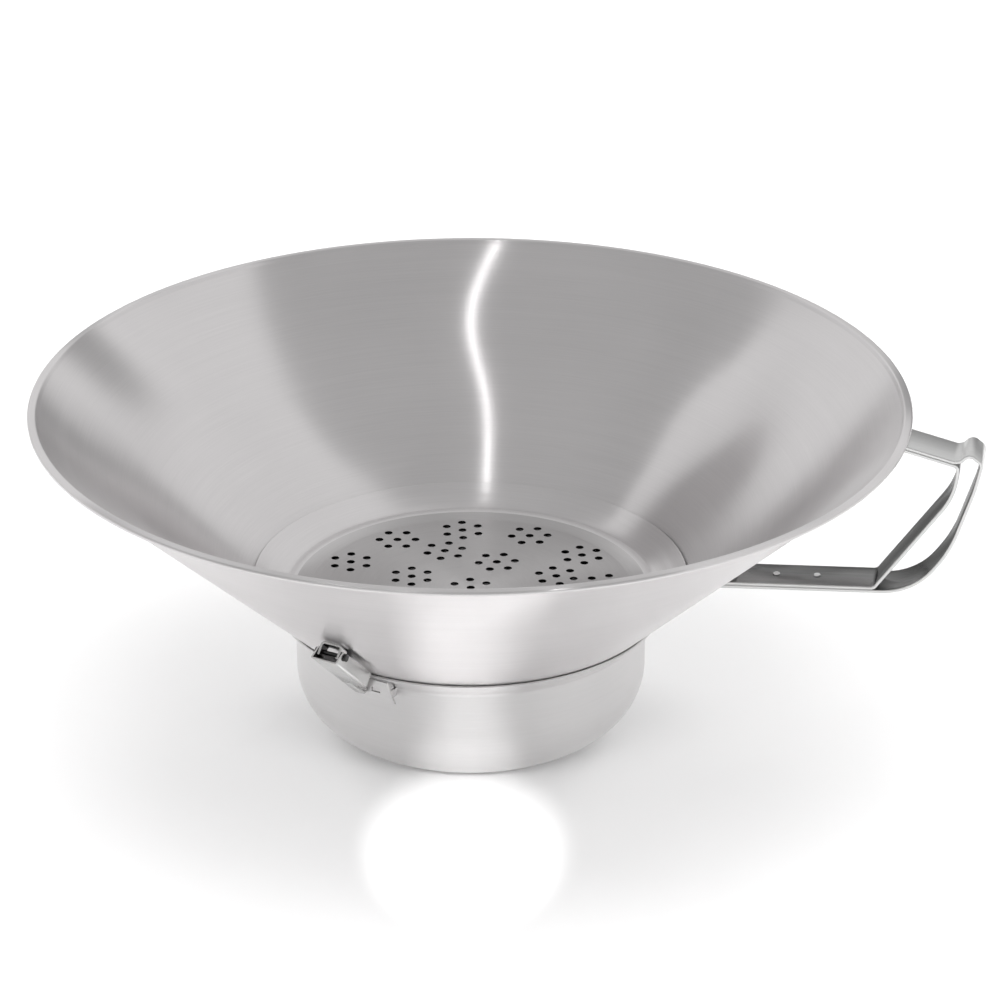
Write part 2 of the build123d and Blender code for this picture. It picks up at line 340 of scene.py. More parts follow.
# Painted shade: near-black inner sides of the clevis and lever, and the pins, stand in for the shade inside
# the catch.
CATCH_PAINTED_SHADE = Steel("catch_inner_side_painted_shade", dark=(0.05, 0.05, 0.05), light=(0.10, 0.10, 0.10),
                     roughness=0.30, anisotropy=0.0, turned=False, line_pitch=0.0008, wave_size=0.01,
                     wave_depth=0.00005)
FIXING_STEEL = Steel("polished_fixing_steel", dark=(0.62, 0.62, 0.62), light=(0.74, 0.74, 0.74),
                     roughness=0.18, anisotropy=0.0, turned=False, line_pitch=0.0008, wave_size=0.01,
                     wave_depth=0.00002)


# ---------------------------------------------------------------- shapes


@dataclass
class Sheet:
    """Points, faces and, for each face, the number of its finish."""

    points: list[Sequence[float]] = field(default_factory=list)
    faces: list[Sequence[int]] = field(default_factory=list)
    marks: list[int] = field(default_factory=list)

    def face(self, corners: Sequence[int], mark: int = 0) -> None:
        """Add a face.

        Args:
            corners: Numbers of its points.
            mark: Number of its finish.
        """
        self.faces.append(tuple(corners))
        self.marks.append(mark)

    def join(self, other: "Sheet") -> "Sheet":
        """Add another sheet's points and faces to this one.

        Args:
            other: The other sheet.

        Returns:
            This sheet.
        """
        first = len(self.points)
        self.points.extend(other.points)
        for corners, mark in zip(other.faces, other.marks):
            self.face([first + i for i in corners], mark)
        return self


class Shape:
    """Makes meshes from outlines in metres."""

    SHARP_ANGLE = math.radians(38)
    LEVEL = 0.99999

    @classmethod
    def piece(cls, name: str, sheet: Sheet, *finishes: bpy.types.Material) -> bpy.types.Object:
        """Turn a sheet into a smooth object with sharp edges kept.

        Args:
            name: Name of the piece.
            sheet: Its points and faces.
            finishes: Materials, in the order of the faces' marks.

        Returns:
            The object.
        """
        mesh = bpy.data.meshes.new(name)
        mesh.from_pydata([tuple(p) for p in sheet.points], [], sheet.faces)
        mesh.polygons.foreach_set("material_index", sheet.marks)
        work = bmesh.new()
        work.from_mesh(mesh)
        bmesh.ops.recalc_face_normals(work, faces=work.faces)
        work.to_mesh(mesh)
        work.free()
        mesh.set_sharp_from_angle(angle=cls.SHARP_ANGLE)
        mesh.polygons.foreach_set("use_smooth", [abs(face.normal.z) < cls.LEVEL for face in mesh.polygons])
        for finish in finishes:
            mesh.materials.append(finish)
        made = bpy.data.objects.new(name, mesh)
        bpy.context.scene.collection.objects.link(made)
        return made

    @staticmethod
    def rounded(corners: Sequence[Point], bends: Sequence[float],
                step: float = math.radians(6)) -> list[Point]:
        """Points along a line through corners, with a round bend at each inner corner.

        Args:
            corners: The line's corners.
            bends: Bend radius at each inner corner.
            step: Turn between two points of a bend.

        Returns:
            The line's points.
        """
        line = [corners[0]]
        for before, here, after, bend in zip(corners, corners[1:], corners[2:], bends):
            a = (Vector(before) - Vector(here)).normalized()
            b = (Vector(after) - Vector(here)).normalized()
            turn = math.pi - a.angle(b)
            if turn < math.radians(0.1):
                continue
            start = Vector(here) + a * bend * math.tan(turn / 2)
            centre = Vector(here) + (a + b).normalized() * bend / math.cos(turn / 2)
            side = 1 if a.x * b.y - a.y * b.x < 0 else -1
            count = max(2, math.ceil(turn / step))
            arm = start - centre
            for k in range(count + 1):
                angle = side * turn * k / count
                line.append((centre.x + arm.x * math.cos(angle) - arm.y * math.sin(angle),
                             centre.y + arm.x * math.sin(angle) + arm.y * math.cos(angle)))
        line.append(corners[-1])
        return line

    @staticmethod
    def normals(line: Sequence[Point]) -> list[Vector]:
        """Unit vectors to the left of a line at each of its points.

        Args:
            line: The line's points.

        Returns:
            One vector for each point.
        """
        found = []
        for i in range(len(line)):
            before = Vector(line[max(i - 1, 0)])
            after = Vector(line[min(i + 1, len(line) - 1)])
            along = (after - before).normalized()
            found.append(Vector((-along.y, along.x)))
        return found

    @classmethod
    def wall(cls, line: Sequence[Point], thickness: float) -> list[Point]:
        """Closed outline of a sheet of even thickness about a line, with rounded ends.

        Args:
            line: Middle line of the sheet.
            thickness: Sheet thickness.

        Returns:
            The outline's points.
        """
        sides = cls.normals(line)
        half = thickness / 2
        left = [tuple(Vector(p) + n * half) for p, n in zip(line, sides)]
        right = [tuple(Vector(p) - n * half) for p, n in zip(line, sides)]
        caps = []
        for tip, normal, sign in ((line[-1], sides[-1], 1), (line[0], sides[0], -1)):
            outward = Vector((normal.y, -normal.x)) * sign
            cap = []
            for k in (1, 2, 3):
                angle = math.pi * k / 4
                cap.append(tuple(Vector(tip) + normal * sign * half * math.cos(angle)
                                 + outward * half * 0.6 * math.sin(angle)))
            caps.append(cap)
        return left + caps[0] + right[::-1] + caps[1]

    @staticmethod
    def lathe(loop: Sequence[Point], steps: int) -> Sheet:
        """Turn a closed outline about the axis.

        Args:
            loop: Radius and height of each point of the outline.
            steps: How many steps there are round.

        Returns:
            The turned sheet.
        """
        made = Sheet()
        count = len(loop)
        for k in range(steps):
            angle = math.tau * k / steps
            c, s = math.cos(angle), math.sin(angle)
            made.points.extend((r * c, r * s, z) for r, z in loop)
        for k in range(steps):
            here, there = k * count, (k + 1) % steps * count
            for i in range(count):
                j = (i + 1) % count
                made.face((here + i, there + i, there + j, here + j))
        return made

    @classmethod
    def strip(cls, line: Sequence[Point], left: float, right: float, thickness: float, rounding: float,
              plane: "SidePlane", inner_mark: int = 1) -> Sheet:
        """Bent strip of sheet with rounded edges.

        Args:
            line: Middle line of the strip in its side view.
            left: Where the strip starts across the view.
            right: Where it ends.
            thickness: Sheet thickness.
            rounding: Radius of the long edges.
            plane: Side view that the line is drawn in.
            inner_mark: Finish of the side to the right of the line.

        Returns:
            The strip.
        """
        half = thickness / 2 - rounding
        quarter = 4
        section = []
        for turn, (across, high) in enumerate(((right - rounding, half), (left + rounding, half),
                                               (left + rounding, -half), (right - rounding, -half))):
            for k in range(quarter):
                angle = math.pi / 2 * (turn + k / (quarter - 1))
                section.append((across + rounding * math.cos(angle), high + rounding * math.sin(angle)))
        made = Sheet()
        count = len(section)
        under = 3 * quarter - 1
        for place, normal in zip(line, cls.normals(line)):
            for across, high in section:
                made.points.append(plane.at(place[0] + normal.x * high, place[1] + normal.y * high, across))
        for k in range(len(line) - 1):
            for i in range(count):
                j = (i + 1) % count
                here, there = k * count, (k + 1) * count
                made.face((here + i, here + j, there + j, there + i), inner_mark if i == under else 0)
        last = (len(line) - 1) * count
        made.face(range(count - 1, -1, -1))
        made.face(range(last, last + count))
        return made


@dataclass(frozen=True)
class SidePlane:
    """A side view: an origin, two directions in the view and one across it."""

    origin: Vector
    along: Vector
    away: Vector
    across: Vector

    def at(self, x: float, y: float, w: float) -> Vector:
        """Place a point of the view.

        Args:
            x: Distance along the view.
            y: Distance away from its base line.
            w: Distance across the view.

        Returns:
            The point in the part's frame.
        """
        return self.origin + self.along * x + self.away * y + self.across * w


HANDLE_PLANE = SidePlane(Vector((0, 0, 0)), Vector((1, 0, 0)), Vector((0, 0, 1)), Vector((0, -1, 0)))


@dataclass
class Piece:
    """A finished piece, with what it stands for."""

    made: bpy.types.Object
    body: Body
    slot: Slot
    nodes: tuple[str, ...] = ()

    def settle(self) -> None:
        """Ride the piece on its body and hide the plain solids that it stands for."""
        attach(self.made, self.body.value)
        if self.nodes:
            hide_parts(*self.nodes)
        LOG.info("%s rides on %s", self.made.name, self.body.value)


# ---------------------------------------------------------------- bowl and cup


@dataclass
class Bowl:
    """The spun cone with its rolled hem."""

    rim_radius: float = 200.0 * MM
    rim_top: float = 160.4 * MM
    hem_width: float = 4.0 * MM
    hem_height: float = 2.4 * MM
    seam_radius: float = 88.0 * MM
    seam_height: float = 60.0 * MM
    sheet: float = 1.0 * MM
    hem_rise: float = 1.6 * MM
    hem_lean: float = 1.1 * MM
    hem_fall: float = 0.35 * MM
    hem_gap: float = 1.0 * MM
    crease_bend: float = 0.9 * MM
    crest_bend: float = 0.6 * MM
    side_steps: int = 24
    round_steps: int = 360

    @property
    def slope(self) -> float:
        """Angle of the bowl's side above the horizontal."""
        rise = self.rim_top - self.hem_height / 2 - self.seam_height
        return math.atan2(rise, self.rim_radius - 0.75 * self.hem_width - self.seam_radius)

    def radius(self, height: float, offset: float = 0.0) -> float:
        """Radius of the outer face, or of a cone offset from it.

        Args:
            height: Height of the place.
            offset: How far outward the other cone stands.

        Returns:
            The radius.
        """
        rise = (height - self.seam_height) / math.tan(self.slope)
        return self.seam_radius + rise + offset / math.sin(self.slope)

    def hem_line(self) -> list[Point]:
        """Middle line of the sheet, from the seam up the side and round the hem."""
        half = self.sheet / 2
        roll = (self.hem_height - self.sheet) / 2
        top = self.rim_top - half
        low = top - 2 * roll
        crease = top - self.hem_rise
        foot = (self.radius(self.seam_height, -half), self.seam_height)
        inner = (self.radius(crease, -half), crease)
        crest = (inner[0] + self.hem_lean, top)
        outer = (self.rim_radius - half, top - self.hem_fall)
        under = (self.rim_radius - half, low)
        tail = (self.radius(low, half) + self.hem_gap, low)
        side = [(foot[0] + (inner[0] - foot[0]) * k / self.side_steps,
                 foot[1] + (inner[1] - foot[1]) * k / self.side_steps) for k in range(self.side_steps)]
        bend = [side[-1], inner, crest, outer, under, tail]
        close = (roll - self.hem_fall / 2) * 0.98
        bends = [self.crease_bend, self.crest_bend, close, close]
        return side[:-1] + Shape.rounded(bend, bends, math.radians(9))

    def build(self, finish: bpy.types.Material) -> list[Piece]:
        """Make the bowl.

        Args:
            finish: Material of the sheet.

        Returns:
            The bowl.
        """
        loop = Shape.wall(self.hem_line(), self.sheet)
        shell = Shape.piece("bowl", Shape.lathe(loop, self.round_steps), finish)
        return [Piece(shell, Body.BOWL, Slot.BOWL, ("bowl_shell",))]


@dataclass
class Cup:
    """The outlet cup: turned-in foot, rounded heel, straight wall and flared shoulder."""

    outlet_radius: float = 46.0 * MM
    wall_radius: float = 80.7 * MM
    foot_bend: float = 29.5 * MM
    shoulder_height: float = 51.5 * MM
    shoulder_bend: float = 4.0 * MM
    lip_radius: float = 88.0 * MM
    lip_height: float = 58.7 * MM
    lip_reach: float = 0.5 * MM
    sheet: float = 1.0 * MM
    round_steps: int = 288

    def build(self, finish: bpy.types.Material) -> list[Piece]:
        """Make the cup.

        Args:
            finish: Material of the sheet.

        Returns:
            The cup.
        """
        half = self.sheet / 2
        wall = self.wall_radius - half
        corners = [(self.outlet_radius, half), (wall, half), (wall, self.shoulder_height),
                   (self.lip_radius + self.lip_reach, self.lip_height + self.lip_reach)]
        line = Shape.rounded(corners, [self.foot_bend, self.shoulder_bend], math.radians(4))
        shell = Shape.piece("cup", Shape.lathe(Shape.wall(line, self.sheet), self.round_steps), finish)
        return [Piece(shell, Body.CUP, Slot.CUP, ("cup_shell",))]


# ---------------------------------------------------------------- sieves


@dataclass
class Sieve:
    """A dished disc punched with rosettes of seven holes."""

    name: str
    node: str
    body: Body
    floor_height: float
    corner_radius: float
    rim: Point
    bend: float
    turn: float = 0.0
    sheet: float = 1.0 * MM
    hole_radius: float = 1.75 * MM
    hole_spacing: float = 8.5 * MM
    flat_radius: float = 74.0 * MM
    rollover: float = 0.15 * MM
    feather: float = 8.0 * MM
    thinning: float = 0.8
    press: float = 0.2 * MM
    bead_radius: float = 82.4 * MM
    bead_reach: float = 4.0 * MM
    bead_height: float = 0.9 * MM
    bead_band: float = 2.1 * MM
    hole_steps: int = 20
    edge_steps: int = 240
    centre_turn: float = 42.0
    rings: tuple[tuple[float, float, tuple[int, ...]], ...] = (
        (62.5 * MM, 13.5, (28, 46, 13, 42, 10, 40, 12, 20, 50, 36, 8, 24)),
        (41.5 * MM, 27.0, (50, 27, 42, 20)),
        (30.0 * MM, 76.0, (17, 40, 12, 34)))

    def holes(self) -> list[Point]:
        """Centres of all holes."""
        places: list[tuple[float, float, float]] = [(0.0, 0.0, self.centre_turn)]
        for radius, start, turns in self.rings:
            for k, turn in enumerate(turns):
                angle = math.radians(start + 360 / len(turns) * k)
                places.append((radius * math.cos(angle), radius * math.sin(angle), turn))
        found = []
        for x, y, turn in places:
            found.append((x, y))
            for k in range(6):
                angle = math.radians(turn + 60 * k)
                found.append((x + self.hole_spacing * math.cos(angle),
                              y + self.hole_spacing * math.sin(angle)))
        c, s = math.cos(math.radians(self.turn)), math.sin(math.radians(self.turn))
        return [(x * c - y * s, x * s + y * c) for x, y in found]

    def build(self, *finishes: bpy.types.Material) -> list[Piece]:
        """Make the sieve as one closed mesh: punched floor, dished edge and rounded rim.

        Args:
            finishes: Materials of the floor, the punched holes' walls (near-black painted shade), the dished
                edge and the bead (lighter painted highlight).

        Returns:
            The sieve.
        """
        line = Shape.rounded([(self.flat_radius, self.floor_height), (self.corner_radius, self.floor_height),
                              self.rim], [self.bend], math.radians(2.5))
        loop = Shape.wall(line, self.sheet)
        loop = [self._worn(point) for point in loop]
        made = Shape.lathe(loop, self.edge_steps)
        inner_cap = range(2 * len(line) + 2, len(loop))
        edge = [n for n in range(len(made.faces)) if n % len(loop) not in inner_cap]
        made.faces = [made.faces[n] for n in edge]
        made.marks = [self._mark(min(math.hypot(*made.points[i][:2]) for i in face)) for face in made.faces]
        self._floor(made, len(loop), 2 * len(line) + 2)
        return [Piece(Shape.piece(self.name, made, *finishes), self.body, Slot.SIEVE, (self.node,))]

    def _mark(self, radius: float) -> int:
        """Choose the finish of the edge.

        Args:
            radius: Radius of the face's inner side.

        Returns:
            Number of the finish.
        """
        if radius < self.bead_radius - self.bead_band:
            return 0
        # Mark 3, the band over the bead, takes the lighter painted highlight.
        return 3 if radius < self.bead_radius + self.bead_band else 2

    def _worn(self, point: Point) -> Point:
        """Point of the edge's outline, with the bead raised and the rim pressed thin against the bowl.

        Args:
            point: Radius and height as the plain sheet would have them.

        Returns:
            Radius and height of the pressed sheet.
        """
        bead = max(0.0, 1 - abs(point[0] - self.bead_radius) / self.bead_reach)
        run = (self.rim[0] - self.corner_radius, self.rim[1] - self.floor_height)
        length = math.hypot(*run)
        along = (run[0] / length, run[1] / length)
        part = (point[0] - self.corner_radius, point[1] - self.floor_height)
        above = part[1] * along[0] - part[0] * along[1] + self.sheet / 2
        near = min(1.0, max(0.0, 1 - (length - part[0] * along[0] - part[1] * along[1]) / self.feather))
        drop = near * (above * self.thinning + self.press)
        lift = self.bead_height * math.sin(bead * math.pi / 2) ** 2
        return (point[0] + drop * along[1], point[1] - drop * along[0] + lift)

    def _floor(self, made: Sheet, stride: int, low_row: int) -> None:
        """Add the punched floor between the two inner circles of the dished edge.

        Args:
            made: The sheet, which holds the dished edge so far.
            stride: How many points the edge has at each step round.
            low_row: Where the inner circle of the lower face stands among them.
        """
        holes = self.holes()
        outer = self.hole_radius + self.rollover
        flat = [tuple(made.points[k * stride][:2]) for k in range(self.edge_steps)]
        edges = [(k, (k + 1) % self.edge_steps) for k in range(self.edge_steps)]
        for x, y in holes:
            first = len(flat)
            for k in range(self.hole_steps):
                angle = math.tau * k / self.hole_steps
                flat.append((x + outer * math.cos(angle), y + outer * math.sin(angle)))
                edges.append((first + k, first + (k + 1) % self.hole_steps))
        triangles = delaunay_2d_cdt([Vector(p) for p in flat], edges, [], 0, 1e-7)[2]
        top = self.floor_height + self.sheet / 2
        low = self.floor_height - self.sheet / 2
        upper = [k * stride for k in range(self.edge_steps)]
        lower = [k * stride + low_row - 1 for k in range(self.edge_steps)]
        for row, height in ((upper, top), (lower, low)):
            for x, y in flat[self.edge_steps:]:
                row.append(len(made.points))
                made.points.append((x, y, height))
        for corners in triangles:
            middle = sum((Vector(flat[i]) for i in corners), Vector((0.0, 0.0))) / 3
            if min((middle.x - x) ** 2 + (middle.y - y) ** 2 for x, y in holes) < (outer * 0.98) ** 2:
                continue
            made.face([upper[i] for i in corners])
            made.face([lower[i] for i in reversed(corners)])
        for number, place in enumerate(holes):
            first = self.edge_steps + number * self.hole_steps
            rim = slice(first, first + self.hole_steps)
            self._hole(made, place, upper[rim], lower[rim])

    def _hole(self, made: Sheet, place: Point, top_ring: Sequence[int], low_ring: Sequence[int]) -> None:
        """Add one hole's wall, rounded over where the punch went in.

        Args:
            made: The sheet.
            place: Centre of the hole.
            top_ring: Numbers of the points round the hole in the upper face.
            low_ring: Numbers of the points round the hole in the lower face.
        """
        top = self.floor_height + self.sheet / 2
        rows = [list(top_ring)]
        for out, down in ((0.35, 0.2), (0.0, 0.8), (0.0, 3.0)):
            radius = self.hole_radius + self.rollover * out
            first = len(made.points)
            for k in range(self.hole_steps):
                angle = math.tau * k / self.hole_steps
                made.points.append((place[0] + radius * math.cos(angle), place[1] + radius * math.sin(angle),
                                    top - self.rollover * down))
            rows.append(list(range(first, first + self.hole_steps)))
        rows.append(list(low_ring))
        # The rollover and wall take mark 1, the near-black painted shade.
        for one, two in zip(rows, rows[1:]):
            for k in range(self.hole_steps):
                j = (k + 1) % self.hole_steps
                made.face((one[k], one[j], two[j], two[k]), 1)


# ---------------------------------------------------------------- handle


@dataclass
class Handle:
    """The two nested straps, joined at their bottom runs by rivets that are not built here."""

    bowl: Bowl
    width: float = 21.0 * MM
    strap: float = 1.5 * MM
    edge: float = 0.4 * MM
    flange: float = 12.0 * MM
    rim_height: float = 156.4 * MM
    valley: Point = (222.0 * MM, 149.5 * MM)
    hump: Point = (227.0 * MM, 154.2 * MM)
    shoulder: Point = (232.7 * MM, 149.8 * MM)
    side: Point = (230.0 * MM, 137.0 * MM)
    heel: Point = (220.0 * MM, 106.0 * MM)
    foot_distance: float = 204.0 * MM
    outer_bends: tuple[float, ...] = (2.0, 5.0, 3.0, 3.2, 60.0, 60.0, 30.0, 2.0)
    run_slope: float = math.radians(2.5)
    run_wall_height: float = 80.4 * MM
    inner_top: float = 222.0 * MM
    inner_knee: Point = (221.8 * MM, 134.5 * MM)
    inner_foot: float = 186.5 * MM
    inner_bends: tuple[float, ...] = (2.0, 34.0, 3.0, 1.6)

    def run_height(self, distance: float) -> float:
        """Height of the outer strap's bottom run.

        Args:
            distance: Distance from the axis.

        Returns:
            The height.
        """
        wall = self.bowl.radius(self.run_wall_height, self.strap / 2)
        return self.run_wall_height + (distance - wall) * math.tan(self.run_slope)

    def up_side(self, point: Point, length: float) -> Point:
        """Go up the bowl's side from a point.

        Args:
            point: Where to start.
            length: How far to go, or down where it is less than 0.

        Returns:
            The point reached.
        """
        return (point[0] + length * math.cos(self.bowl.slope), point[1] + length * math.sin(self.bowl.slope))

    def outer_line(self) -> list[Point]:
        """Middle line of the outer strap, from its flange under the rim to its flange at the run."""
        rim = (self.bowl.radius(self.rim_height, self.strap / 2), self.rim_height)
        wall = (self.bowl.radius(self.run_wall_height, self.strap / 2), self.run_wall_height)
        foot = (self.foot_distance, self.run_height(self.foot_distance))
        corners = [self.up_side(rim, -self.flange), rim, self.valley, self.hump, self.shoulder, self.side,
                   self.heel, foot, wall, self.up_side(wall, -self.flange)]
        return Shape.rounded(corners, [b * MM for b in self.outer_bends], math.radians(4))

    def inner_line(self) -> list[Point]:
        """Middle line of the inner strap."""
        rim = (self.bowl.radius(self.rim_height, self.strap / 2), self.rim_height)
        fall = (self.valley[1] - rim[1]) / (self.valley[0] - rim[0])
        under = math.hypot(1, fall) * self.strap
        start = (rim[0] + 2 * self.strap, rim[1] + 2 * self.strap * fall - under)
        top = (self.inner_top, rim[1] + (self.inner_top - rim[0]) * fall - under)
        lift = self.strap / math.cos(self.run_slope)
        foot = (self.inner_foot, self.run_height(self.inner_foot) + lift)
        wall_distance = (self.bowl.radius(self.run_wall_height, self.strap / 2)
                         + lift / (math.tan(self.bowl.slope) - math.tan(self.run_slope)))
        wall = (wall_distance, self.run_height(wall_distance) + lift)
        corners = [start, top, self.inner_knee, foot, wall, self.up_side(wall, self.flange)]
        return Shape.rounded(corners, [b * MM for b in self.inner_bends], math.radians(4))

    def build(self, finish: bpy.types.Material, inside: bpy.types.Material) -> list[Piece]:
        """Make both straps.

        Args:
            finish: Material of the outer sides and the edges.
            inside: Painted shade material of the sides that face the fingers: darker steel for the shade on
                that side.

        Returns:
            The straps.
        """
        made = []
        for name, line, node in (("outer_strap", self.outer_line(), "handle_outer_strap"),
                                 ("inner_strap", self.inner_line(), "handle_inner_strap")):
            sheet = Shape.strip(line, -self.width / 2, self.width / 2, self.strap, self.edge, HANDLE_PLANE)
            made.append(Piece(Shape.piece(name, sheet, finish, inside), Body.BOWL, Slot.STRAP, (node,)))
        return made


# ---------------------------------------------------------------- catches


@dataclass
class Catch:
    """One toggle catch: a clevis on the bowl's side and a channel lever with its tongue."""

    bowl: Bowl
    side: str
    azimuth: float
    body: Body
    clevis_range: Point = (37.0 * MM, 43.0 * MM)
    clevis_width: float = 11.0 * MM
    clevis_height: float = 6.5 * MM
    clevis_sheet: float = 1.2 * MM
    clevis_bend: float = 1.4 * MM
    lever_width: float = 13.4 * MM
    lever_sheet: float = 0.85 * MM
    lever_bend: float = 0.75 * MM
    lever_range: Point = (12.0 * MM, 42.2 * MM)
    lever_heights: Point = (2.6 * MM, 9.4 * MM)
    lever_rake: float = 3.0 * MM
    tongue_sheet: float = 1.2 * MM
    tongue_width: float = 4.2 * MM
    tongue_end: float = -3.5 * MM
    tongue_bend: float = 1.5 * MM
    tip_distance: float = 89.2 * MM
    edge: float = 0.25 * MM

    def planes(self) -> tuple[SidePlane, SidePlane]:
        """Side view of the catch, and the view along its lever."""
        turn = Matrix.Rotation(math.radians(self.azimuth), 3, "Z")
        slope = self.bowl.slope
        origin = turn @ Vector((self.bowl.seam_radius, 0, self.bowl.seam_height))
        up = turn @ Vector((math.cos(slope), 0, math.sin(slope)))
        away = turn @ Vector((math.sin(slope), 0, -math.cos(slope)))
        across = turn @ Vector((0, 1, 0))
        return SidePlane(origin, up, away, across), SidePlane(origin, across, away, up)

    def clevis(self) -> Sheet:
        """The clevis: a strip bent into a U that stands off the bowl."""
        reach = (self.clevis_width - self.clevis_sheet) / 2
        base = self.clevis_sheet / 2
        line = Shape.rounded([(reach, self.clevis_height), (reach, base), (-reach, base),
                              (-reach, self.clevis_height)], [self.clevis_bend] * 2, math.radians(12))
        return Shape.strip(line, *self.clevis_range, self.clevis_sheet, self.edge, self.planes()[1])

    def lever(self) -> Sheet:
        """The lever: a channel with raked upper end, and a tongue that hooks into the keeper."""
        side, end = self.planes()
        low, high = self.lever_heights
        reach = (self.lever_width - self.lever_sheet) / 2
        web = high - self.lever_sheet / 2
        line = Shape.rounded([(-reach, low), (-reach, web), (reach, web), (reach, low)],
                             [self.lever_bend] * 2, math.radians(12))
        made = Shape.strip(line, *self.lever_range, self.lever_sheet, self.edge, end)
        middle = sum(self.lever_range) / 2
        for number, point in enumerate(made.points):
            place = Vector(point) - end.origin
            if place.dot(side.along) > middle:
                rake = self.lever_rake * (place.dot(side.away) - low) / (high - low)
                made.points[number] = Vector(point) + side.along * rake
        return made.join(self.tongue(side))

    def tongue(self, side: SidePlane) -> Sheet:
        """The narrow tongue that runs on from the lever's web and turns in at its tip.

        Args:
            side: Side view of the catch.

        Returns:
            The tongue.
        """
        slope = self.bowl.slope
        height = self.lever_heights[1] - self.tongue_sheet / 2
        turn_height = self.tongue_end * math.sin(slope) - height * math.cos(slope)
        reach = self.tip_distance - self.bowl.seam_radius
        tip = (reach * math.cos(slope) + turn_height * math.sin(slope),
               reach * math.sin(slope) - turn_height * math.cos(slope))
        start = (self.lever_range[0] + self.clevis_sheet, height)
        line = Shape.rounded([start, (self.tongue_end, height), tip], [self.tongue_bend], math.radians(12))
        left = -self.lever_width / 2 + self.lever_sheet
        return Shape.strip(line, left, left + self.tongue_width, self.tongue_sheet, self.edge, side, 0)

    def build(self, finish: bpy.types.Material, inside: bpy.types.Material) -> list[Piece]:
        """Make the clevis and the lever.

        Args:
            finish: Material of the outer sides and the edges.
            inside: Painted shade material of the inner sides: near black, for the shade inside the clevis
                and the lever's channel.

        Returns:
            The clevis and the lever.
        """
        clevis = Shape.piece(f"clevis_{self.side}", self.clevis(), finish, inside)
        lever = Shape.piece(f"lever_{self.side}", self.lever(), finish, inside)
        return [Piece(clevis, Body.BOWL, Slot.CATCH, (f"catch_clevis_{self.side}",)),
                Piece(lever, self.body, Slot.CATCH, (f"catch_lever_{self.side}",))]


# ---------------------------------------------------------------- small steel


@dataclass
class SmallSteel:
    """The seat, rivets, pins and keepers, whose solids have the right shape already."""

    dress: dict[str, Slot] = field(
        default_factory=lambda: {"sieve_seat": Slot.BOWL, "handle_rivets": Slot.FIXING})

    def __post_init__(self) -> None:
        """Add the keeper and pin of each catch."""
        for side in ("front", "rear"):
            self.dress[f"catch_keeper_{side}"] = Slot.CUP
            self.dress[f"catch_pin_{side}"] = Slot.FIXING

    def build(self, finishes: dict[Slot, bpy.types.Material], pin_painted_shade: bpy.types.Material) -> None:
        """Give each solid its finish.

        Args:
            finishes: Material of each slot.
            pin_painted_shade: Painted shade material of the pins: near black, for the shade inside the
                clevis.
        """
        for name, slot in self.dress.items():
            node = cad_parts[name]
            node.data.materials.clear()
            # The pins take the near-black painted shade in place of their slot's finish.
            node.data.materials.append(pin_painted_shade if name.startswith("catch_pin") else finishes[slot])
            LOG.info("%s keeps its solid", name)


# ---------------------------------------------------------------- studio


